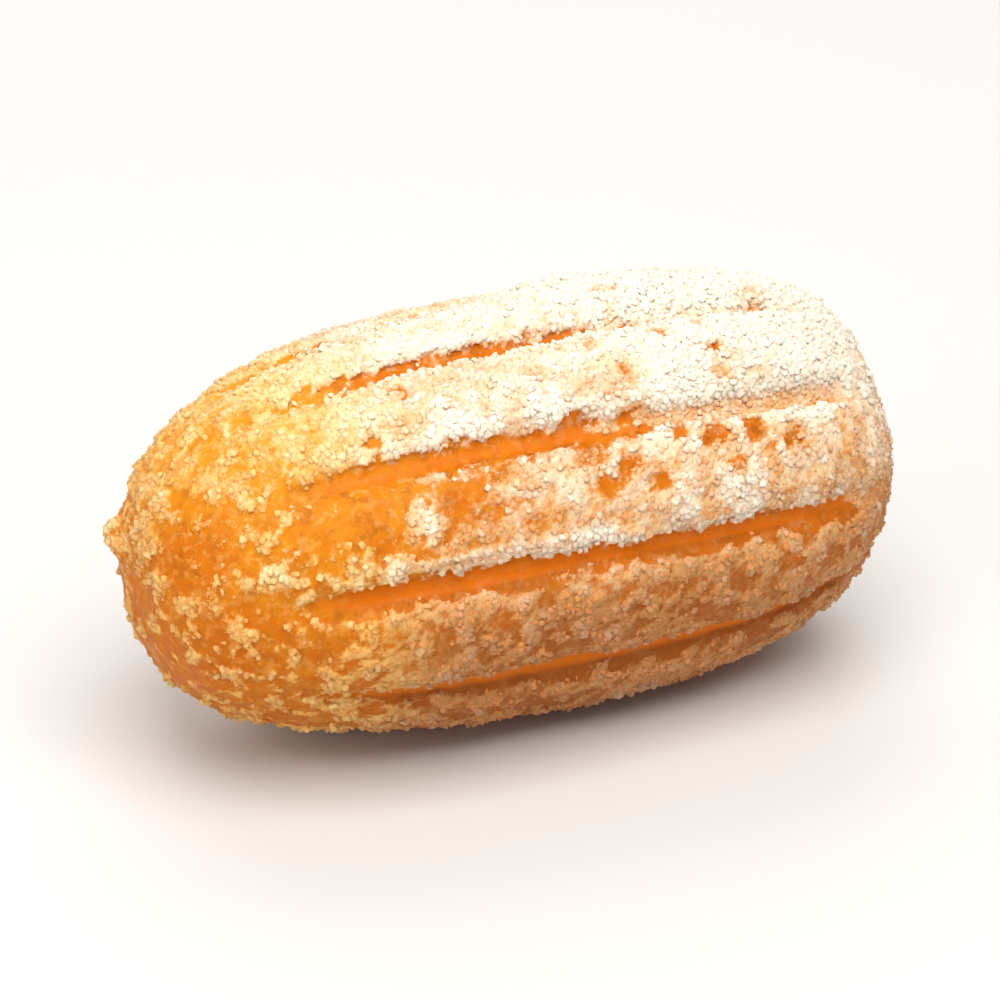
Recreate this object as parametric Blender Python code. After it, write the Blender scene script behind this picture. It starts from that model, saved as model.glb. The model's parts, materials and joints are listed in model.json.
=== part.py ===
"""A small sugared churro: one plump, piped and fried bar of dough with ten lengthwise ridges.

Blender 4.5, metres, +Z up. The bar lies along X and rests on Z = 0 on the flattened crest of its
bottom ridge. Angles round the bar are counted from its front side (-Y), upwards.
"""

import math

import bmesh
import bpy

# Driving dimensions of the bar, over the tops of its ridges.
LENGTH = 0.062
RADIUS = 0.0165
REST_FLAT_DEPTH = 0.0008

# The swell: the fattest place lies a little right of the middle, and the left end tapers more.
FATTEST_AT = 0.055 * LENGTH
LEFT_POWER = 2.60
RIGHT_POWER = 2.95

# The ridges, from the bottom one upwards round the front: how wide each is against the others.
RIDGE_WIDTHS = (1.08, 1.08, 1.04, 1.02, 0.95, 0.83, 1.04, 0.95, 1.03, 0.98)
FIRST_GROOVE_ANGLE = math.radians(-109)
CROWN = 0.00040
GROOVE_DEPTH = 0.0013
GROOVE_HALF_WIDTH = 0.10

# Where the grooves die out towards the two ends, as shares of the half length, and over how much.
LEFT_FADE = 0.67
LEFT_FADE_SPAN = 0.48
RIGHT_FADE = 0.80
RIGHT_FADE_SPAN = 0.30

# Unevenness left by piping and frying.
GROOVE_WANDER = math.radians(1.6)
RIDGE_SWELL = 0.00022

# The little tail where the dough was pinched off, at the left tip.
TAIL_HEIGHT = 0.0015
TAIL_RADIUS = 0.0015
TAIL_FRONT = -0.0046
TAIL_UP = 0.0018

# Mesh resolution: sections along the bar, and places across each ridge as shares of its width.
SECTIONS = 38
END_CROWDING = 0.25
ACROSS_RIDGE = (0.0, 0.07, 0.15, 0.27, 0.50, 0.73, 0.85, 0.93)

DOUGH_COLOUR = (0.80, 0.33, 0.045, 1.0)
DOUGH_ROUGHNESS = 0.55


def clear_scene():
    for old in list(bpy.data.objects):
        bpy.data.objects.remove(old)


def dough_material():
    material = bpy.data.materials.new("fried_dough")
    material.use_nodes = True
    shader = material.node_tree.nodes["Principled BSDF"]
    shader.inputs["Base Color"].default_value = DOUGH_COLOUR
    shader.inputs["Roughness"].default_value = DOUGH_ROUGHNESS
    shader.inputs["Metallic"].default_value = 0.0
    return material


def section(turn):
    """(place along the bar, radius of the envelope there), for a turn from 0 at the right tip to pi."""
    power = RIGHT_POWER if turn < math.pi / 2 else LEFT_POWER
    half = LENGTH / 2 - FATTEST_AT if turn < math.pi / 2 else LENGTH / 2 + FATTEST_AT
    along = math.copysign(abs(math.cos(turn)) ** (2 / power), math.cos(turn))
    return FATTEST_AT + half * along, RADIUS * math.sin(turn) ** (2 / power)


def smooth_step(low, high, value):
    share = min(max((value - low) / (high - low), 0.0), 1.0)
    return share * share * (3 - 2 * share)


def groove_strength(along, ridge):
    """1 where the groove is fully cut, falling to 0 towards each tip."""
    share = along / (LENGTH / 2)
    stagger = 0.05 * math.sin(2.3 * ridge)
    left = smooth_step(-LEFT_FADE_SPAN / 2, LEFT_FADE_SPAN / 2, share + LEFT_FADE + stagger)
    right = smooth_step(-RIGHT_FADE_SPAN / 2, RIGHT_FADE_SPAN / 2, RIGHT_FADE - stagger - share)
    return left * right


def ridge_starts():
    """The angle of the groove below each ridge, and one more to close the ring."""
    pitch = math.tau / sum(RIDGE_WIDTHS)
    starts = [FIRST_GROOVE_ANGLE]
    for width in RIDGE_WIDTHS:
        starts.append(starts[-1] + width * pitch)
    return starts


def relief(along, ridge, across):
    """How far the surface lies outside the envelope, across one ridge from groove to groove."""
    from_groove = min(across, 1 - across)
    below = ridge if across < 0.5 else ridge + 1
    strength = groove_strength(along, below % len(RIDGE_WIDTHS))
    groove = GROOVE_DEPTH * math.exp(-((from_groove / GROOVE_HALF_WIDTH) ** 2))
    crown = CROWN * (1 + math.cos(math.tau * from_groove)) / 2
    swell = RIDGE_SWELL * math.sin(1.7 * ridge + along * 130) * math.sin(math.pi * across)
    return swell * strength - (groove + crown) * strength


def tail_height(front, up):
    """The pinched tail at the left tip, over the point that far to the front and up."""
    off = math.hypot(front - TAIL_FRONT, up - TAIL_UP) / TAIL_RADIUS
    return TAIL_HEIGHT * math.exp(-off * off)


def shape_bar(mesh):
    """Moves the points of a unit sphere, whose lower pole becomes the right tip, onto the ridged bar."""
    starts = ridge_starts()
    columns = len(ACROSS_RIDGE)
    for point in mesh.verts:
        turn = math.acos(max(-1.0, min(1.0, -point.co.z)))
        turn -= END_CROWDING * math.sin(2 * turn)
        along, radius = section(turn)
        column = round(math.atan2(point.co.y, point.co.x) / math.tau * columns * len(RIDGE_WIDTHS))
        ridge, place = divmod(column % (columns * len(RIDGE_WIDTHS)), columns)
        across = ACROSS_RIDGE[place]
        angle = starts[ridge] + across * (starts[ridge + 1] - starts[ridge])
        angle += GROOVE_WANDER * math.sin(95 * along + 0.8 * ridge)
        ease = min(1.0, radius / (RADIUS / 2))
        radius += relief(along, ridge, across) * ease
        front, up = radius * math.cos(angle), radius * math.sin(angle)
        if turn > math.pi / 2:
            along -= tail_height(front, up)
        point.co = (along, -front, up)


def flatten_rest(mesh):
    """Presses the lowest ridge flat, so that the bar stands, and drops it onto Z = 0."""
    low = min(point.co.z for point in mesh.verts) + REST_FLAT_DEPTH
    for point in mesh.verts:
        point.co.z = max(point.co.z, low)
    return low


def make_bar(collection):
    mesh = bmesh.new()
    bmesh.ops.create_uvsphere(
        mesh,
        u_segments=len(ACROSS_RIDGE) * len(RIDGE_WIDTHS),
        v_segments=SECTIONS,
        radius=1.0,
    )
    shape_bar(mesh)
    low = flatten_rest(mesh)
    data = bpy.data.meshes.new("churro")
    mesh.to_mesh(data)
    mesh.free()
    data.materials.append(dough_material())
    data.shade_smooth()
    bar = bpy.data.objects.new("churro", data)
    collection.objects.link(bar)
    across = [corner[1] for corner in bar.bound_box]
    along = [corner[0] for corner in bar.bound_box]
    bar.location = (-(min(along) + max(along)) / 2, -(min(across) + max(across)) / 2, -low)
    return bar


def main():
    clear_scene()
    collection = bpy.data.collections.new("churro")
    bpy.context.scene.collection.children.link(collection)
    make_bar(collection)


main()
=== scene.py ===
"""Sugared churro: dresses the plain solid of a small churro with its fried dough and its sugar.

Blender 4.5, metres, +Z up. The bar lies along X on Z = 0, its front side faces -Y. Places round the
bar are angles counted from the front side upwards, and places along it are shares of its half length.
"""

import json
import math

import bpy
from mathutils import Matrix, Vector

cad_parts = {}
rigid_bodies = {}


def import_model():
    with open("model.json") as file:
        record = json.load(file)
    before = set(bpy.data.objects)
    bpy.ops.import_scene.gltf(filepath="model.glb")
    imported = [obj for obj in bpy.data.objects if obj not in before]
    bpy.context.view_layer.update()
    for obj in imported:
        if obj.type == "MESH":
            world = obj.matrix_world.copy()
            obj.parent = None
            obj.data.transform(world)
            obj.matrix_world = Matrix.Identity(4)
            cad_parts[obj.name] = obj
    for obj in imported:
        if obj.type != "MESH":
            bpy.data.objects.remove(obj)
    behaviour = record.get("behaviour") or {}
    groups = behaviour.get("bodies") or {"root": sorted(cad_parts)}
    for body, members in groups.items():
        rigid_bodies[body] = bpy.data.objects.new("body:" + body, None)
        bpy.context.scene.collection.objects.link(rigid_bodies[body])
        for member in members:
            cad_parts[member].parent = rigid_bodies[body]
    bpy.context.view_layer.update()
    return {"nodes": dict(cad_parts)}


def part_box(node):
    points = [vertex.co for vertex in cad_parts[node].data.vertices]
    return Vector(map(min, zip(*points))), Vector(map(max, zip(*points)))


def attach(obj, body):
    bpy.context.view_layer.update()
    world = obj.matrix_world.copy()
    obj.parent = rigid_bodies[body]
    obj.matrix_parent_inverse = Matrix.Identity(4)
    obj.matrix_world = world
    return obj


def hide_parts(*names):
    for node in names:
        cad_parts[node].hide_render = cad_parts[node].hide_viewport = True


bl_info = {
    "name": "Sugared Churro",
    "version": (1, 0, 0),
    "blender": (4, 5, 0),
    "location": "3D View > Sidebar > Churro",
    "description": "Dresses a plain churro solid with fried dough and grains of sugar",
    "category": "Object",
}

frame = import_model()
LOW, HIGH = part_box("churro")
MIDDLE = (LOW + HIGH) / 2
HALF_LENGTH = (HIGH.x - LOW.x) / 2
RADIUS = (HIGH.y - LOW.y) / 2
MM = 0.001

# Heaped lumps of sugar: place along, angle round in degrees, radius in mm, strength.
HEAPS = (
    (-0.43, 27, 1.3, 0.8),
    (-0.50, 16, 1.3, 0.8),
    (-0.58, 20, 1.4, 0.8),
    (-0.79, 14, 1.4, 0.7),
    (-0.69, 3, 1.5, 0.7),
    (-0.65, -2, 1.1, 0.6),
    (-0.59, 54, 1.3, 0.7),
    (-0.66, 57, 1.0, 0.6),
    (-0.48, 52, 2.2, 0.8),
    (-0.27, 49, 2.9, 0.9),
    (-0.04, 50, 1.9, 0.6),
    (-0.06, 33, 0.8, 0.6),
    (0.02, 9, 2.0, 0.7),
    (0.22, 17, 1.8, 0.6),
    (0.39, 16, 2.2, 0.6),
    (0.35, 47, 3.5, 0.8),
    (0.70, 72, 6.0, 0.8),
    (0.35, 92, 5.0, 0.7),
    (0.10, 205, 3.0, 0.9),
    (-0.40, 160, 2.4, 0.8),
    (0.45, 140, 3.0, 0.8),
    (0.20, -50, 2.5, 0.5),
    (-0.98, 159, 1.0, 0.7),
)

# Places where the sugar was rubbed off: place along, angle round in degrees, radius in mm, strength.
RUBBED = (
    (-0.38, 67, 0.8, 1.0),
    (-0.49, 52, 0.8, 0.9),
    (-0.63, 111, 1.3, 0.8),
    (-0.72, 83, 1.1, 0.8),
    (-0.78, 81, 0.9, 0.7),
    (0.28, 90, 0.9, 0.55),
    (0.14, 69, 0.8, 0.45),
    (0.26, 76, 0.9, 0.6),
    (0.33, 66, 0.7, 0.55),
    (0.45, 69, 0.6, 0.5),
    (0.44, 58, 0.7, 0.80),
    (0.44, 50, 0.8, 0.5),
    (0.19, 55, 0.7, 0.45),
    (0.66, 79, 1.1, 0.5),
    (0.19, 24, 0.8, 0.70),
    (0.13, 30, 1.0, 0.60),
    (0.06, 25, 0.9, 0.62),
    (0.03, 34, 1.1, 0.55),
    (0.19, 43, 1.1, 0.60),
    (0.28, 38, 0.9, 0.70),
    (0.37, 34, 1.3, 0.75),
    (0.48, 32, 1.1, 0.95),
    (0.58, 28, 1.1, 0.65),
    (0.40, 23, 0.8, 0.55),
    (-0.55, 33, 2.6, 0.74),
    (-0.65, 40, 2.2, 0.5),
    (-0.94, 36, 3.2, 0.6),
    (-0.92, -14, 1.4, 0.4),
    (-0.77, -4, 1.1, 0.4),
    (-0.70, 170, 3.0, 0.7),
    (0.15, 170, 1.6, 0.7),
    (-0.10, 230, 2.0, 0.7),
)


# ---------------------------------------------------------------------------------------- nodes


class Wire:
    """A node's output that can stand in a sum: each operator adds its Math node."""

    def __init__(self, recipe, socket):
        self.recipe = recipe
        self.socket = socket

    def _math(self, operation, first, second):
        return self.recipe.node("ShaderNodeMath", {"operation": operation}, {0: first, 1: second})

    def __add__(self, other):
        return self._math("ADD", self, other)

    def __radd__(self, other):
        return self._math("ADD", other, self)

    def __sub__(self, other):
        return self._math("SUBTRACT", self, other)

    def __rsub__(self, other):
        return self._math("SUBTRACT", other, self)

    def __mul__(self, other):
        return self._math("MULTIPLY", self, other)

    def __rmul__(self, other):
        return self._math("MULTIPLY", other, self)

    def __truediv__(self, other):
        return self._math("DIVIDE", self, other)

    def __pow__(self, other):
        return self._math("POWER", self, other)

    def at_least(self, other):
        return self._math("MAXIMUM", self, other)

    def at_most(self, other):
        return self._math("MINIMUM", self, other)

    def clamped(self):
        return self.recipe.node("ShaderNodeClamp", {}, {0: self})

    def rise(self, low, high):
        """0 up to low, 1 from high on, and smooth between; a fall where high is below low."""
        settings = {"interpolation_type": "SMOOTHSTEP"}
        if not isinstance(low, Wire) and not isinstance(high, Wire) and high < low:
            return self.recipe.node("ShaderNodeMapRange", settings, {0: self, 1: high, 2: low, 3: 1.0, 4: 0.0})
        return self.recipe.node("ShaderNodeMapRange", settings, {0: self, 1: low, 2: high})


class Recipe:
    """Adds nodes to a tree, each from its type, its settings and the values or links of its sockets."""

    def __init__(self, tree):
        self.tree = tree

    def node(self, kind, settings=None, sockets=None, output=0):
        node = self.tree.nodes.new(kind)
        for name, value in (settings or {}).items():
            if name == "stops":
                self._set_stops(node.color_ramp.elements, value)
            else:
                setattr(node, name, value)
        for key, value in (sockets or {}).items():
            if isinstance(value, Wire):
                self.tree.links.new(value.socket, node.inputs[key])
            else:
                node.inputs[key].default_value = value
        return Wire(self, node.outputs[output]) if node.outputs else node

    def _set_stops(self, elements, stops):
        while len(elements) < len(stops):
            elements.new(1.0)
        for element, (place, colour) in zip(elements, stops):
            element.position = place
            element.color = colour

    def vector(self, operation, first, second=None, scale=None):
        """A Vector Math node; its result is a number for a length or a dot product."""
        sockets = {0: first}
        if second is not None:
            sockets[1] = second
        if scale is not None:
            sockets[3] = scale
        output = 1 if operation in ("LENGTH", "DISTANCE", "DOT_PRODUCT") else 0
        return self.node("ShaderNodeVectorMath", {"operation": operation}, sockets, output)

    def noise(self, place, size, detail=2.0, roughness=0.5, shift=(0.0, 0.0, 0.0)):
        """Soft noise from 0 to 1, whose features are about size across, in metres."""
        moved = self.vector("ADD", place, shift)
        sockets = {"Vector": moved, "Scale": 1.0 / size, "Detail": detail, "Roughness": roughness}
        return self.node("ShaderNodeTexNoise", {}, sockets)

    def cells(self, place, size, feature="F1", randomness=1.0, smoothness=None):
        """Distance to the nearest cell's middle, in cell sizes."""
        sockets = {"Vector": place, "Scale": 1.0 / size, "Randomness": randomness}
        if smoothness is not None:
            sockets["Smoothness"] = smoothness
        return self.node("ShaderNodeTexVoronoi", {"feature": feature}, sockets)

    def mixed(self, share, first, second):
        """A colour between two colours."""
        settings = {"data_type": "RGBA", "clamp_factor": True}
        return self.node("ShaderNodeMix", settings, {0: share, 6: first, 7: second}, 2)


class GeometryRecipe(Recipe):
    """A recipe for a Geometry Nodes tree: what comes in, named attributes, and what goes out."""

    def __init__(self, name):
        super().__init__(bpy.data.node_groups.new(name, "GeometryNodeTree"))
        self.tree.is_modifier = True
        for way in ("INPUT", "OUTPUT"):
            self.tree.interface.new_socket("Geometry", in_out=way, socket_type="NodeSocketGeometry")
        self.geometry = self.node("NodeGroupInput")

    def place(self):
        return self.node("GeometryNodeInputPosition")

    def named(self, name):
        return self.node("GeometryNodeInputNamedAttribute", {"data_type": "FLOAT"}, {"Name": name})

    def store(self, name, value, domain="POINT", kind="FLOAT"):
        settings = {"data_type": kind, "domain": domain}
        sockets = {"Geometry": self.geometry, "Name": name, "Value": value}
        self.geometry = self.node("GeometryNodeStoreNamedAttribute", settings, sockets)

    def move(self, offset):
        self.geometry = self.node("GeometryNodeSetPosition", {}, {"Geometry": self.geometry, "Offset": offset})

    def random(self, low, high, seed, kind="FLOAT"):
        first = {"FLOAT_VECTOR": 0, "FLOAT": 2, "INT": 4}[kind]
        output = {"FLOAT_VECTOR": 0, "FLOAT": 1, "INT": 2}[kind]
        sockets = {first: low, first + 1: high, "Seed": seed}
        return self.node("FunctionNodeRandomValue", {"data_type": kind}, sockets, output)

    def close(self):
        self.node("NodeGroupOutput", {}, {0: self.geometry})
        return self.tree


# --------------------------------------------------------------------------------------- helpers


def pick(piece):
    """Makes one piece the only selected and active one."""
    bpy.ops.object.select_all(action="DESELECT")
    piece.select_set(True)
    bpy.context.view_layer.objects.active = piece


def apply_modifier(piece, kind, **settings):
    pick(piece)
    modifier = piece.modifiers.new(kind.lower(), kind)
    for name, value in settings.items():
        setattr(modifier, name, value)
    bpy.ops.object.modifier_apply(modifier=modifier.name)


def wear(piece, material):
    piece.data.materials.clear()
    piece.data.materials.append(material)


def triangles(piece):
    piece.data.calc_loop_triangles()
    return len(piece.data.loop_triangles)


def on_bar(along, angle):
    """A point on the bar's outside, from its place along and its angle round."""
    taper = (1 - min(abs(along), 0.98) ** 2.6) ** (1 / 2.6)
    reach = RADIUS * taper
    turn = math.radians(angle)
    x = MIDDLE.x + along * HALF_LENGTH
    return (x, MIDDLE.y - reach * math.cos(turn), MIDDLE.z + reach * math.sin(turn))


def spots(recipe, place, listed):
    """The strength of the nearest listed spots at a place, from 0 to 1, with uneven edges."""
    ragged = recipe.noise(place, 1.5 * MM, 3.0, 0.65, (0.0, 0.0, 0.021)) - 0.5
    total = None
    for along, angle, size, strength in listed:
        away = recipe.vector("DISTANCE", place, on_bar(along, angle)) + ragged * (4.0 * MM)
        here = away.rise(size * MM * 1.70, size * MM * 0.40) * strength
        total = here if total is None else total.at_least(here)
    return total


# ----------------------------------------------------------------------------------------- dough


# Lengths of a grain's three sides against its size.
GRAIN_SHAPES = ((1.0, 0.85, 0.70), (1.15, 0.75, 0.80), (0.90, 0.95, 0.60))


class ChurroDough(bpy.types.PropertyGroup):
    """The fried dough: its relief and its colours."""

    grid: bpy.props.FloatProperty(
        name="Grid", description="Size of the skin's faces", default=0.00031, unit="LENGTH", precision=5
    )
    lump_size: bpy.props.FloatProperty(
        name="Lump size", description="Distance between broad lumps", default=0.010, unit="LENGTH", precision=5
    )
    lump_height: bpy.props.FloatProperty(
        name="Lump height", description="Height of the broad lumps", default=0.00045, unit="LENGTH", precision=5
    )
    blister_size: bpy.props.FloatProperty(
        name="Blister size", description="Distance between small blisters", default=0.0026, unit="LENGTH", precision=5
    )
    blister_height: bpy.props.FloatProperty(
        name="Blister height", description="Height of the blisters", default=0.00014, unit="LENGTH", precision=5
    )
    golden: bpy.props.FloatVectorProperty(
        name="Golden", description="Lightly fried dough", subtype="COLOR", size=4, default=(0.66, 0.225, 0.007, 1.0)
    )
    # Straw is used only for the painted highlight at the top of the left dome.
    straw: bpy.props.FloatVectorProperty(
        name="Straw", description="Palest dough, high on the left dome", subtype="COLOR", size=4,
        default=(0.84, 0.35, 0.020, 1.0),
    )
    amber: bpy.props.FloatVectorProperty(
        name="Amber", description="Well fried dough", subtype="COLOR", size=4, default=(0.60, 0.15, 0.003, 1.0)
    )
    groove: bpy.props.FloatVectorProperty(
        name="Groove", description="Dough down in the grooves", subtype="COLOR", size=4, default=(0.74, 0.175, 0.005, 1.0)
    )
    # Used both for real toasted specks and for the painted shade low on the bar.
    toasted_and_shade: bpy.props.FloatVectorProperty(
        name="Toasted", description="Darkest spots of the crust", subtype="COLOR", size=4, default=(0.33, 0.085, 0.010, 1.0)
    )
    dusted: bpy.props.FloatVectorProperty(
        name="Dusted", description="Dough under a thin film of sugar", subtype="COLOR", size=4, default=(0.74, 0.44, 0.19, 1.0)
    )
    frosted: bpy.props.FloatVectorProperty(
        name="Frosted", description="Dough under a thick film of sugar", subtype="COLOR", size=4, default=(0.97, 0.84, 0.63, 1.0)
    )
    honey: bpy.props.FloatVectorProperty(
        name="Honey", description="Dough under a film of sugar, on the left dome", subtype="COLOR", size=4,
        default=(0.95, 0.52, 0.09, 1.0),
    )
    # Used only for painted shade: the film of sugar darker low on the bar.
    film_in_shade: bpy.props.FloatVectorProperty(
        name="Tanned", description="Dough under a film of sugar, low on the bar", subtype="COLOR", size=4,
        default=(0.44, 0.17, 0.045, 1.0),
    )


def relief_tree(dough):
    """The dough's lumps and blisters, and the fields groove, thick, crust, film and white."""
    tree = GeometryRecipe("dough_relief")
    facing = tree.node("GeometryNodeInputNormal")
    store_groove(tree, facing)
    store_sugar_fields(tree, facing)
    fill_grooves(tree)
    height = dough_height(tree, dough)
    tree.move(tree.vector("SCALE", facing, scale=height))
    lift_onto_table(tree)
    return tree.close()


def store_groove(tree, facing):
    """groove is 1 down in the grooves and 0 on the ridges: the surface lies below its own blurred copy."""
    hollow = tree.vector("DOT_PRODUCT", to_blurred(tree), facing)
    tree.store("groove", hollow.rise(0.00004, 0.00026))


def to_blurred(tree):
    """The way from the surface to its own blurred copy."""
    place = tree.place()
    sockets = {"Value": place, "Iterations": 36}
    blurred = tree.node("GeometryNodeBlurAttribute", {"data_type": "FLOAT_VECTOR"}, sockets)
    return tree.vector("SUBTRACT", blurred, place)


def fill_grooves(tree):
    """Towards the right end, the sugar fills the upper grooves."""
    tree.move(tree.vector("SCALE", to_blurred(tree), scale=tree.named("filled")))


def store_sugar_fields(tree, facing):
    """crust is how closely the grains lie, thick how high they're heaped, film how much fine dust covers the
    dough between them, and white how pale the sugar is."""
    place = tree.place()
    along = (tree.node("ShaderNodeSeparateXYZ", {}, {0: place}) - MIDDLE.x) / HALF_LENGTH
    outward = tree.vector("MULTIPLY", tree.vector("SUBTRACT", place, tuple(MIDDLE)), (0.0, 1.0, 1.0))
    high = tree.node("ShaderNodeSeparateXYZ", {}, {0: tree.vector("NORMALIZE", outward)}, 2)
    upward = tree.node("ShaderNodeSeparateXYZ", {}, {0: facing}, 2)
    downhill = tree.vector("SUBTRACT", tree.vector("SCALE", facing, scale=upward), (0.0, 0.0, 1.0))
    belt = high.rise(0.02, 0.30) * high.rise(0.82, 0.62)
    right = (along + 0.72 - belt * 0.36).rise(-0.22, 0.42)
    near_lip = groove_at(tree, place, downhill, 1.3 * MM)
    lip = near_lip.at_least(groove_at(tree, place, downhill, 2.2 * MM)) * along.rise(-0.75, -0.45) * high.rise(-0.55, 0.15)
    worn = tree.noise(place, 1.3 * MM, 2.0, 0.5, (0.0, 0.017, 0.0)).rise(0.34, 0.58)
    under_lip = groove_at(tree, place, downhill, -1.2 * MM)
    bank = under_lip * (along.rise(0.50, 0.15) * 0.35 + along.rise(0.95, 0.65) * 0.60)
    under_far = groove_at(tree, place, downhill, -2.2 * MM)
    bank = bank.at_least(under_far * worn * along.rise(0.60, 0.30) * 0.7) * belt
    sockets = {"Value": tree.named("groove"), "Iterations": 10}
    beside = tree.node("GeometryNodeBlurAttribute", {"data_type": "FLOAT"}, sockets).rise(0.06, 0.40)
    patchy = tree.noise(place, 2.0 * MM, 3.0, 0.6, (0.0, 0.0, 0.047)).rise(0.38, 0.62)
    top = high.rise(0.76, 0.88)
    upper = high.rise(0.30, 0.60) * (1 - top)
    front = high.rise(-0.10, 0.05) * high.rise(0.60, 0.30)
    hidden = (along + patchy * 0.40 - 0.20).rise(-0.05, 0.45) * top * 0.80
    hidden = hidden.at_least((along + patchy * 0.40 - 0.20).rise(-0.30, 0.35) * upper * 0.92)
    hidden = hidden.at_least((along + patchy * 0.30 - 0.15).rise(0.52, 0.84) * front * 0.85)
    sockets = {"Value": tree.named("groove"), "Iterations": 30}
    around = tree.node("GeometryNodeBlurAttribute", {"data_type": "FLOAT"}, sockets).rise(0.03, 0.22)
    torn = tree.noise(place, 2.4 * MM, 4.0, 0.6, (0.0, 0.029, 0.0)).rise(0.50, 0.62)
    clear = worn * (upper * 0.20 + 0.35) + (0.65 - upper * 0.20)
    bare = (tree.named("groove") * clear).at_least(beside * worn).at_least(around * torn * 0.8)
    bare = bare * (1 - hidden)
    shallow = upper * 0.40 + top * 0.65 + front * along.rise(0.05, 0.50) * 0.50
    tree.store("filled", tree.named("groove") * hidden.at_least(shallow))
    ragged = tree.noise(place, 2.2 * MM, 3.0, 0.6, (0.0, 0.0, 0.083)).rise(0.40, 0.60)
    beard = under_lip.at_least(under_far * along.rise(-0.10, 0.30)) * high.rise(-0.40, -0.20) * high.rise(0.13, 0.08)
    beard = beard * ragged * (along.rise(-0.2, 0.4) * 0.45 + 0.6)
    wide = tree.noise(place, 8.0 * MM, 2.0) - 0.5
    low = (high + wide * 0.5).rise(0.14, -0.10)
    dome = along.rise(-0.30, -0.62)
    clumps = tree.noise(place, 1.5 * MM, 3.0, 0.55, (0.0, 0.0, 0.061)).rise(0.48, 0.64)
    heaps = spots(tree, place, HEAPS)
    rubbed = spots(tree, place, RUBBED).at_least(bank * (1 - tree.named("groove") * hidden)).at_least(beard)
    patches = tree.noise(place, 3.2 * MM, 4.0, 0.6, (0.02, 0.0, 0.0)) - 0.5
    drifts = tree.noise(place, 4.0 * MM, 3.0, 0.6, (0.031, 0.0, 0.0)) - 0.5
    cover = 0.34 - belt * 0.14 + right * 0.52 + wide * 0.8 + patches * 1.1 + heaps * 0.5 + lip * 0.4
    cover = cover + clumps * (dome * 0.7 + low * 0.1) - low * 0.16 + dome * high.rise(0.55, 0.95) * 0.04
    cover = (cover.clamped() - rubbed * rubbed * 1.3 - bare * 1.6).clamped()
    crown = upward.rise(0.15, 0.90) * along.rise(-0.45, 0.55)
    thick = drifts * 2.0 + lip * 0.5 + crown * 0.65 + heaps * 0.8 - 0.08
    tree.store("thick", (thick.clamped() - rubbed - bare * 1.5).clamped())
    gaps = tree.noise(place, 1.7 * MM, 4.0, 0.6, (0.0, 0.043, 0.0))
    gaps = (gaps - low * 0.05).rise(0.54, 0.38)
    crust = cover * 1.15 + tree.named("thick") * 0.5 - gaps * (1.0 - high.rise(0.62, 0.80) * 0.35)
    tree.store("crust", crust.clamped())
    tree.store("bald", (rubbed + bare * 0.5).clamped())
    film = cover * 0.45 + tree.named("crust") * (low * 0.25 + 0.40) + tree.named("thick") * 0.30
    film = film + right * (1 - low) * 0.15 - (bare + rubbed) * 0.3
    tree.store("film", film.clamped())
    # Paler sugar where it lies thick, heaped and dense, and painted highlight: paler higher round the bar, most
    # towards the right end.
    white = tree.named("thick") * 0.65 + high.rise(-0.10, 0.45) * (right * 0.25 + 0.25) + cover * 0.10
    faded = tree.noise(place, 1.9 * MM, 4.0, 0.65, (0.0, 0.0, 0.033)).rise(0.42, 0.62) * (belt * 0.20 + 0.34)
    # Painted highlight: paler on upward faces of the left half, and higher round the right end.
    painted_highlight_left = upward.rise(0.70, 0.95) * along.rise(-0.90, -0.55) * 0.35
    white = white + heaps * 0.35 + painted_highlight_left + lip * 0.15 + along.rise(0.65, 0.95) * high.rise(-0.15, 0.35) * 0.20
    cream = along.rise(0.35, 0.05) * high.rise(0.74, 0.86) * high.rise(0.99, 0.93) * 0.18
    white = white + clumps * (low * (1 - dome) * 0.50 + dome * 0.40) - dome * 0.10 - faded - cream
    peach = upper * along.rise(-0.35, 0.05) + top * along.rise(-0.1, 0.3) * 0.6 + front * along.rise(0.5, 0.8) * 0.8
    peach = peach * tree.named("groove").at_least(under_lip)
    # Less pale in the gaps, and as painted shade a little less pale low on the bar.
    white = (white - gaps * 0.2 - low * 0.05).clamped() * (1 - peach * 0.75)
    stain = (rubbed * 1.3).clamped().at_least(rubbed.rise(0.0, 0.25) * 0.40)
    tree.store("white", white * (1 - stain))
    # Painted shade: the dough, its film of sugar and the grains darker towards the bottom of the bar, with an uneven
    # edge, less on the left dome and towards the right end.
    tone = tree.noise(place, 6.0 * MM, 3.0, 0.6) - 0.5
    height = tree.node("ShaderNodeSeparateXYZ", {}, {0: place}, 2) / HIGH.z
    browned = (height + tone * 0.3).rise(0.62, 0.38)
    tree.store("browned", browned * (0.75 - dome * 0.58 - along.rise(0.35, 0.85) * 0.20))
    tree.store("golden", dome)


def groove_at(tree, place, downhill, step):
    """How much of a groove lies one step downhill of a place."""
    below = tree.vector("ADD", place, tree.vector("SCALE", downhill, scale=step))
    sockets = {"Mesh": tree.geometry, "Value": tree.named("groove"), "Sample Position": below}
    return tree.node("GeometryNodeSampleNearestSurface", {"data_type": "FLOAT"}, sockets)


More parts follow.
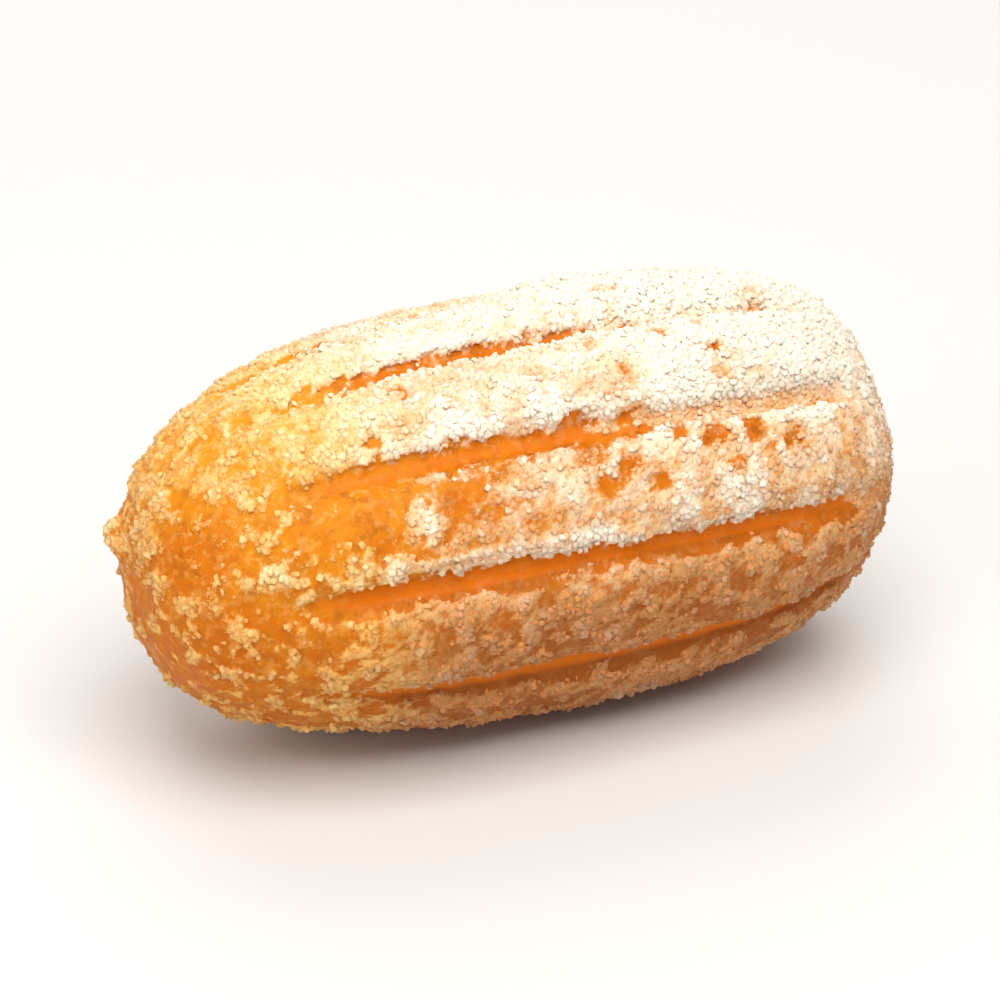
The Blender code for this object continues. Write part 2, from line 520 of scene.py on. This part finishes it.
def dough_height(tree, dough):
    """How far the skin lies outside the plain solid: sunk a little, so that the sugar has room."""
    place = tree.place()
    lumps = (tree.noise(place, dough.lump_size, 1.0) - 0.5) * (2 * dough.lump_height)
    dents = (tree.noise(place, dough.lump_size / 4, 3.0, 0.55, (0.0, 0.07, 0.0)) - 0.5) * dough.lump_height
    blistered = tree.noise(place, dough.blister_size * 2, 2.0, 0.5, (0.0, 0.0, 0.05)).rise(0.45, 0.65)
    blisters = tree.cells(place, dough.blister_size).rise(0.55, 0.05) * blistered * dough.blister_height
    grit = tree.noise(place, 0.9 * MM, 3.0, 0.6).rise(0.30, 0.70) * tree.named("crust") * 0.00024
    layer = tree.named("film") * 0.00010 + tree.named("thick") * 0.00012
    groove = tree.named("groove")
    return lumps + (dents + blisters + grit + layer) * (1 - groove * 0.8) - 0.00030 - groove * 0.00005


def lift_onto_table(tree):
    """Nothing may lie below the table."""
    above = tree.vector("MAXIMUM", tree.place(), (-1.0, -1.0, 0.0))
    tree.geometry = tree.node("GeometryNodeSetPosition", {}, {"Geometry": tree.geometry, "Position": above})


def attribute(recipe, name):
    return recipe.node("ShaderNodeAttribute", {"attribute_name": name}, {}, 2)


def new_material(name):
    material = bpy.data.materials.new(name)
    material.use_nodes = True
    material.node_tree.nodes.clear()
    return material, Recipe(material.node_tree)


def surface(recipe, constants, links):
    """The Principled shader and the material's output."""
    shader = recipe.node("ShaderNodeBsdfPrincipled", {}, {**constants, **links})
    recipe.node("ShaderNodeOutputMaterial", {}, {"Surface": shader})


def height_share(recipe, place):
    """0 on the table and 1 at the top of the bar."""
    return recipe.node("ShaderNodeSeparateXYZ", {}, {0: place}, 2) / HIGH.z


def dough_material(dough):
    material, recipe = new_material("fried_dough")
    place = recipe.node("ShaderNodeTexCoord", {}, {}, 3)
    groove = attribute(recipe, "groove")
    crust = attribute(recipe, "crust")
    film = attribute(recipe, "film")
    white = attribute(recipe, "white")
    bald = attribute(recipe, "bald")
    browned = attribute(recipe, "browned")
    dome = attribute(recipe, "golden")
    tone = recipe.noise(place, 6 * MM, 3.0, 0.6)
    mottle = recipe.noise(place, 1.4 * MM, 3.0, 0.6, (0.05, 0.0, 0.0))
    speckle = recipe.noise(place, 1.3 * MM, 4.0, 0.65, (0.0, 0.021, 0.0))
    along = (recipe.node("ShaderNodeSeparateXYZ", {}, {0: place}) - MIDDLE.x) / HALF_LENGTH
    height = height_share(recipe, place)
    # Real browning from random tone, mottling, rubbed spots and towards the right end, and painted shade: more amber
    # lower on the bar.
    browning_and_shade = tone.rise(0.30, 0.70) * 0.8 + height.rise(0.75, 0.25) * 0.6 + along.rise(-0.6, 0.4) * 0.35
    browning_and_shade = browning_and_shade + (mottle - 0.5) * 3.0 + bald * 0.6 - 0.10
    dough_colour = recipe.mixed(browning_and_shade, tuple(dough.golden), tuple(dough.amber))
    # Painted highlight: the top of the left dome paler, in straw.
    painted_highlight_dome = dome * height.rise(0.58, 0.90)
    dough_colour = recipe.mixed(painted_highlight_dome * 0.6, dough_colour, tuple(dough.straw))
    dough_colour = recipe.mixed(speckle.rise(0.47, 0.66) * (bald * 0.30 - dome * 0.18 + 0.5), dough_colour, tuple(dough.toasted_and_shade))
    # Painted shade: the dough darker low on the bar and darkest near the table, less on the left dome.
    dough_colour = recipe.mixed(browned * 1.17, dough_colour, tuple(dough.toasted_and_shade))
    dough_colour = recipe.mixed(height.rise(0.34, 0.08) * (0.8 - dome * 0.45), dough_colour, tuple(dough.toasted_and_shade))
    dough_colour = recipe.mixed(groove.rise(0.1, 0.9) * height.rise(1.0, 0.6) * 0.9, dough_colour, tuple(dough.groove))
    grain = recipe.noise(place, 0.42 * MM, 3.0, 0.65)
    specks = recipe.noise(place, 0.8 * MM, 3.0, 0.6, (0.0, 0.09, 0.0)).rise(0.50, 0.64) * (white * 0.5 + 0.25)
    film = (film + (grain - 0.5) * 0.9).rise(0.22, 0.70).at_least(specks * (1 - groove * 0.6))
    film_colour = recipe.mixed(white, tuple(dough.dusted), tuple(dough.frosted))
    film_colour = recipe.mixed(dome * 0.6, film_colour, tuple(dough.honey))
    # Painted shade: the film of sugar darker low on the bar.
    film_colour = recipe.mixed(browned, film_colour, tuple(dough.film_in_shade))
    colour = recipe.mixed(film, dough_colour, film_colour)
    relief = grain * (crust * 1.2 + 0.3) + speckle * 0.7 + mottle
    bump = recipe.node("ShaderNodeBump", {}, {"Strength": 0.7, "Distance": 0.0002, "Height": relief})
    roughness = 0.42 + crust * 0.35 - groove * 0.06
    constants = {"Subsurface Weight": 0.12, "Subsurface Scale": 0.0015, "Specular IOR Level": 0.08}
    links = {"Base Color": colour, "Roughness": roughness, "Normal": bump}
    surface(recipe, constants, links)
    return material


class ChurroSkin(bpy.types.Operator):
    """Makes the fried dough: the bar's own shape, finely meshed, with lumps, blisters and clean grooves"""

    bl_idname = "churro.skin"
    bl_label = "Fried dough"

    def execute(self, context):
        dough = context.scene.churro_dough
        skin = bpy.data.objects.new("dough_skin", frame["nodes"]["churro"].data.copy())
        context.scene.collection.objects.link(skin)
        pick(skin)
        bpy.ops.object.mode_set(mode="EDIT")
        bpy.ops.mesh.select_all(action="SELECT")
        bpy.ops.mesh.remove_doubles(threshold=0.00001)
        bpy.ops.mesh.tris_convert_to_quads()
        bpy.ops.object.mode_set(mode="OBJECT")
        apply_modifier(skin, "SUBSURF", levels=2, render_levels=2)
        apply_modifier(skin, "REMESH", mode="VOXEL", voxel_size=dough.grid)
        apply_modifier(skin, "SMOOTH", factor=0.5, iterations=6)
        apply_modifier(skin, "NODES", node_group=relief_tree(dough))
        pick(skin)
        bpy.ops.object.shade_smooth()
        wear(skin, dough_material(dough))
        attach(skin, "root")
        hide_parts("churro")
        print("dough_skin", triangles(skin))
        return {"FINISHED"}


# ----------------------------------------------------------------------------------------- sugar


class ChurroSugar(bpy.types.PropertyGroup):
    """The sugar: the sizes of its grains and its colours."""

    dust: bpy.props.FloatProperty(
        name="Dust", description="Side of the broken grains", default=0.00027, unit="LENGTH", precision=5
    )
    fine: bpy.props.FloatProperty(
        name="Fine grain", description="Side of the finest grains", default=0.00032, unit="LENGTH", precision=5
    )
    medium: bpy.props.FloatProperty(
        name="Medium grain", description="Side of the common grains", default=0.00048, unit="LENGTH", precision=5
    )
    coarse: bpy.props.FloatProperty(
        name="Coarse grain", description="Side of the largest grains", default=0.00062, unit="LENGTH", precision=5
    )
    seed: bpy.props.IntProperty(name="Seed", description="Another seed moves every grain", default=7, min=0)
    bright: bpy.props.FloatVectorProperty(
        name="Bright", description="Heaped sugar", subtype="COLOR", size=4, default=(1.0, 0.90, 0.75, 1.0)
    )
    thin: bpy.props.FloatVectorProperty(
        name="Thin", description="Single grains, which the dough shines through", subtype="COLOR", size=4,
        default=(0.78, 0.42, 0.16, 1.0),
    )
    root: bpy.props.FloatVectorProperty(
        name="Root", description="The foot of a grain, where it stands in the dough", subtype="COLOR", size=4,
        default=(0.80, 0.26, 0.035, 1.0),
    )
    straw: bpy.props.FloatVectorProperty(
        name="Straw", description="Grains on the golden left dome", subtype="COLOR", size=4,
        default=(0.99, 0.62, 0.14, 1.0),
    )
    # Used only for painted shade: the grains darker low on the bar.
    grains_in_shade: bpy.props.FloatVectorProperty(
        name="Caramel", description="Grains low on the bar, browned by the fat", subtype="COLOR", size=4,
        default=(0.42, 0.18, 0.068, 1.0),
    )


def sugar_material(sugar):
    material, recipe = new_material("sugar_grains")
    place = recipe.node("ShaderNodeTexCoord", {}, {}, 3)
    white = attribute(recipe, "white")
    crust = attribute(recipe, "crust")
    tint = attribute(recipe, "tint")
    depth = attribute(recipe, "depth")
    share = (white + crust * 0.10 + (tint - 0.5) * 0.45).clamped()
    colour = recipe.mixed(share, tuple(sugar.thin), tuple(sugar.bright))
    colour = recipe.mixed(attribute(recipe, "golden") * 0.65, colour, tuple(sugar.straw))
    # Painted shade: the grains darker low on the bar.
    colour = recipe.mixed(attribute(recipe, "browned"), colour, tuple(sugar.grains_in_shade))
    colour = recipe.mixed(depth.rise(0.30, 0.02) * (0.85 - white * 0.75), colour, tuple(sugar.root))
    cloudy = recipe.noise(place, 0.25 * MM, 2.0)
    bump = recipe.node("ShaderNodeBump", {}, {"Strength": 0.25, "Distance": 0.00005, "Height": cloudy})
    facing = recipe.node("ShaderNodeAttribute", {"attribute_name": "facing"}, {}, 1)
    soft = recipe.vector("ADD", recipe.vector("SCALE", bump, scale=0.36), recipe.vector("SCALE", facing, scale=0.64))
    soft = recipe.vector("NORMALIZE", soft)
    constants = {"Specular IOR Level": 0.45}
    links = {"Base Color": colour, "Roughness": 0.25 + tint * 0.25, "Normal": soft}
    surface(recipe, constants, links)
    return material


def add_chip():
    """A broken grain: a pyramid on three sides."""
    bpy.ops.mesh.primitive_cone_add(vertices=3, radius1=0.65, depth=0.8)


def add_grain():
    """A whole grain: a plain block."""
    bpy.ops.mesh.primitive_cube_add(size=1.0)


def add_crystal():
    """A large grain: a block with its edges cut."""
    bpy.ops.mesh.primitive_cube_add(size=1.0)
    bpy.ops.object.mode_set(mode="EDIT")
    bpy.ops.mesh.select_all(action="SELECT")
    bpy.ops.mesh.bevel(offset=0.16, offset_type="OFFSET", segments=1)
    bpy.ops.object.mode_set(mode="OBJECT")


def make_stock(name, add_one):
    """A few unlike grains of one kind, one metre across, in a collection of their own."""
    collection = bpy.data.collections.new(name)
    bpy.context.scene.collection.children.link(collection)
    for number, shape in enumerate(GRAIN_SHAPES):
        bpy.ops.object.select_all(action="DESELECT")
        add_one()
        grain = bpy.context.active_object
        grain.scale = shape
        bpy.ops.object.transform_apply(location=False, rotation=False, scale=True)
        bpy.ops.object.mode_set(mode="EDIT")
        bpy.ops.mesh.select_all(action="SELECT")
        bpy.ops.transform.vertex_random(offset=0.13, seed=number)
        bpy.ops.object.mode_set(mode="OBJECT")
        for old in grain.users_collection:
            old.objects.unlink(grain)
        collection.objects.link(grain)
    return collection


def drop_stock(collection):
    for grain in list(collection.objects):
        bpy.data.objects.remove(grain)
    bpy.data.collections.remove(collection)


def scatter_tree(name, crystals, size, spacing, field, seed, floor, lift):
    """Grains over the skin, as densely as the field says, each turned its own way."""
    tree = GeometryRecipe(name)
    skin = tree.geometry
    wanted = tree.named(field).rise(*floor)
    height = tree.node("ShaderNodeSeparateXYZ", {}, {0: tree.place()}, 2)
    sockets = {
        "Mesh": tree.geometry,
        "Distance Min": spacing,
        "Density Max": 1.6 / spacing**2,
        "Density Factor": wanted * height.rise(0.5 * size, 1.2 * size),
        "Seed": seed,
    }
    spread = tree.node("GeometryNodeDistributePointsOnFaces", {"distribute_method": "POISSON"}, sockets)
    facing = Wire(tree, spread.socket.node.outputs[1])
    tree.geometry = spread
    tree.store("facing", facing, kind="FLOAT_VECTOR")
    rise = tree.random(lift[0], lift[1], seed + 1)
    tree.move(tree.vector("SCALE", facing, scale=rise))
    turn = tree.node(
        "FunctionNodeEulerToRotation", {},
        {0: tree.random((0.0, 0.0, 0.0), (math.tau, math.tau, math.tau), seed + 2, "FLOAT_VECTOR")},
    )
    grown = tree.random((0.75 * size,) * 3, (1.25 * size,) * 3, seed + 3, "FLOAT_VECTOR")
    stock = tree.node(
        "GeometryNodeCollectionInfo", {},
        {"Collection": crystals, "Separate Children": True, "Reset Children": True},
    )
    placed = tree.node("GeometryNodeInstanceOnPoints", {}, {
        "Points": tree.geometry,
        "Instance": stock,
        "Pick Instance": True,
        "Instance Index": tree.random(0, len(crystals.objects) - 1, seed + 4, "INT"),
        "Rotation": turn,
        "Scale": grown,
    })
    tree.geometry = placed
    tree.store("tint", tree.random(0.0, 1.0, seed + 5), "INSTANCE")
    tree.geometry = tree.node("GeometryNodeRealizeInstances", {}, {0: tree.geometry})
    sockets = {"Geometry": skin, "Sample Position": tree.place()}
    away = tree.node("GeometryNodeProximity", {"target_element": "FACES"}, sockets, 1)
    tree.store("depth", away / MM)
    lift_onto_table(tree)
    return tree.close()


def scatter(name, material, crystals, size, spacing, field, seed, floor, lift, rounded=True):
    """One piece of grains over the skin."""
    piece = bpy.data.objects.new(name, bpy.data.objects["dough_skin"].data.copy())
    bpy.context.scene.collection.objects.link(piece)
    tree = scatter_tree(name, crystals, size, spacing, field, seed, floor, lift)
    apply_modifier(piece, "NODES", node_group=tree)
    wear(piece, material)
    pick(piece)
    if rounded:
        bpy.ops.object.shade_smooth()
    else:
        bpy.ops.object.shade_flat()
    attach(piece, "root")
    print(name, triangles(piece))


class ChurroGrains(bpy.types.Operator):
    """Sprinkles fine, common and coarse grains over the dough, thickest on the ridges and none in the grooves"""

    bl_idname = "churro.grains"
    bl_label = "Grains of sugar"

    def execute(self, context):
        sugar = context.scene.churro_sugar
        material = sugar_material(sugar)
        chips = make_stock("chips", add_chip)
        grains = make_stock("grains", add_grain)
        crystals = make_stock("crystals", add_crystal)
        seed = sugar.seed * 10
        sunk = (-0.00020, -0.00001)
        scatter("sugar_dust", material, chips, sugar.dust, 0.00022, "crust", seed, (0.0, 0.6), sunk)
        scatter("sugar_fine", material, grains, sugar.fine, 0.00034, "crust", seed + 100, (0.05, 0.9), sunk)
        scatter("sugar_medium", material, grains, sugar.medium, 0.00044, "crust", seed + 200, (0.15, 1.0), sunk)
        scatter("sugar_coarse", material, crystals, sugar.coarse, 0.0009, "crust", seed + 300, (0.1, 1.3), sunk, False)
        heaped = (-0.0001, 0.00010)
        scatter("sugar_heaped", material, grains, sugar.medium, 0.00040, "thick", seed + 400, (0.25, 0.9), heaped)
        for stock in (chips, grains, crystals):
            drop_stock(stock)
        return {"FINISHED"}


# ----------------------------------------------------------------------------------------- stage


class ChurroStage(bpy.types.PropertyGroup):
    """The table, the lamps and the camera."""

    azimuth: bpy.props.FloatProperty(
        name="Azimuth", description="Where the camera stands round the churro", default=math.radians(-27), unit="ROTATION"
    )
    elevation: bpy.props.FloatProperty(
        name="Elevation", description="How far the camera looks down", default=math.radians(25), unit="ROTATION"
    )
    distance: bpy.props.FloatProperty(
        name="Distance", description="From the camera to the churro", default=0.38, unit="LENGTH"
    )
    lens: bpy.props.FloatProperty(name="Lens", description="Focal length in mm", default=178.0)
    table: bpy.props.FloatVectorProperty(
        name="Table", description="Colour of the table top", subtype="COLOR", size=4, default=(0.70, 0.695, 0.69, 1.0)
    )
    key_power: bpy.props.FloatProperty(name="Key lamp", description="Power of the main lamp in W", default=3.9)
    fill_power: bpy.props.FloatProperty(name="Fill lamp", description="Power of the fill lamp in W", default=0.9)
    back_power: bpy.props.FloatProperty(name="Back lamp", description="Power of the back lamp in W", default=1.6)
    sky: bpy.props.FloatProperty(name="Sky", description="Strength of the light from all round", default=0.36)


def table_material(colour):
    material, recipe = new_material("table_top")
    place = recipe.node("ShaderNodeTexCoord", {}, {}, 3)
    faint = recipe.noise(place, 0.12, 2.0)
    tone = recipe.mixed(faint * 0.3, tuple(colour), tuple(0.97 * share for share in colour[:3]) + (1.0,))
    surface(recipe, {"Roughness": 0.75, "Specular IOR Level": 0.2}, {"Base Color": tone})
    return material


def add_lamp(name, place, size, power, colour):
    bpy.ops.object.light_add(type="AREA", location=place)
    lamp = bpy.context.active_object
    lamp.name = name
    lamp.data.size = size
    lamp.data.energy = power
    lamp.data.color = colour
    lamp.rotation_euler = (MIDDLE - Vector(place)).to_track_quat("-Z", "Y").to_euler()


class ChurroScene(bpy.types.Operator):
    """Sets the churro on a pale table, in soft light from above, and aims the camera at it"""

    bl_idname = "churro.stage"
    bl_label = "Table, lamps and camera"

    def execute(self, context):
        stage = context.scene.churro_stage
        bpy.ops.object.select_all(action="DESELECT")
        bpy.ops.mesh.primitive_plane_add(size=3.0)
        table = context.active_object
        table.name = "table_top"
        wear(table, table_material(stage.table))
        add_lamp("key_lamp", (-0.03, -0.24, 0.54), 0.55, stage.key_power, (1.0, 0.98, 0.95))
        add_lamp("fill_lamp", (-0.45, -0.16, 0.24), 0.35, stage.fill_power, (1.0, 0.97, 0.92))
        add_lamp("back_lamp", (0.12, 0.42, 0.40), 0.50, stage.back_power, (1.0, 0.98, 0.95))
        world = bpy.data.worlds.new("studio")
        context.scene.world = world
        world.use_nodes = True
        world.node_tree.nodes["Background"].inputs[0].default_value = (1.0, 0.99, 0.98, 1.0)
        world.node_tree.nodes["Background"].inputs[1].default_value = stage.sky
        context.scene.view_settings.view_transform = "Standard"
        back = Vector((
            math.sin(stage.azimuth) * math.cos(stage.elevation),
            -math.cos(stage.azimuth) * math.cos(stage.elevation),
            math.sin(stage.elevation),
        ))
        bpy.ops.object.camera_add(location=MIDDLE + back * stage.distance)
        camera = context.active_object
        camera.rotation_euler = (-back).to_track_quat("-Z", "Y").to_euler()
        camera.data.lens = stage.lens
        camera.data.clip_start = 0.01
        context.scene.camera = camera
        return {"FINISHED"}


# ---------------------------------------------------------------------------------------- add-on


class ChurroPanel(bpy.types.Panel):
    """Lists the churro's steps in the order in which they are run."""

    bl_idname = "CHURRO_PT_steps"
    bl_label = "Sugared Churro"
    bl_space_type = "VIEW_3D"
    bl_region_type = "UI"
    bl_category = "Churro"

    def draw(self, context):
        for step in STEPS:
            self.layout.operator(step.bl_idname)
        for group in (context.scene.churro_dough, context.scene.churro_sugar, context.scene.churro_stage):
            for name in group.bl_rna.properties.keys():
                if name not in ("rna_type", "name"):
                    self.layout.prop(group, name)


STEPS = (ChurroSkin, ChurroGrains, ChurroScene)
CLASSES = (ChurroDough, ChurroSugar, ChurroStage, *STEPS, ChurroPanel)


def register():
    for each in CLASSES:
        bpy.utils.register_class(each)
    bpy.types.Scene.churro_dough = bpy.props.PointerProperty(type=ChurroDough)
    bpy.types.Scene.churro_sugar = bpy.props.PointerProperty(type=ChurroSugar)
    bpy.types.Scene.churro_stage = bpy.props.PointerProperty(type=ChurroStage)


def unregister():
    del bpy.types.Scene.churro_stage
    del bpy.types.Scene.churro_sugar
    del bpy.types.Scene.churro_dough
    for each in reversed(CLASSES):
        bpy.utils.unregister_class(each)


def main():
    register()
    bpy.ops.churro.skin()
    bpy.ops.churro.grains()
    bpy.ops.churro.stage()


if __name__ == "__main__":
    main()
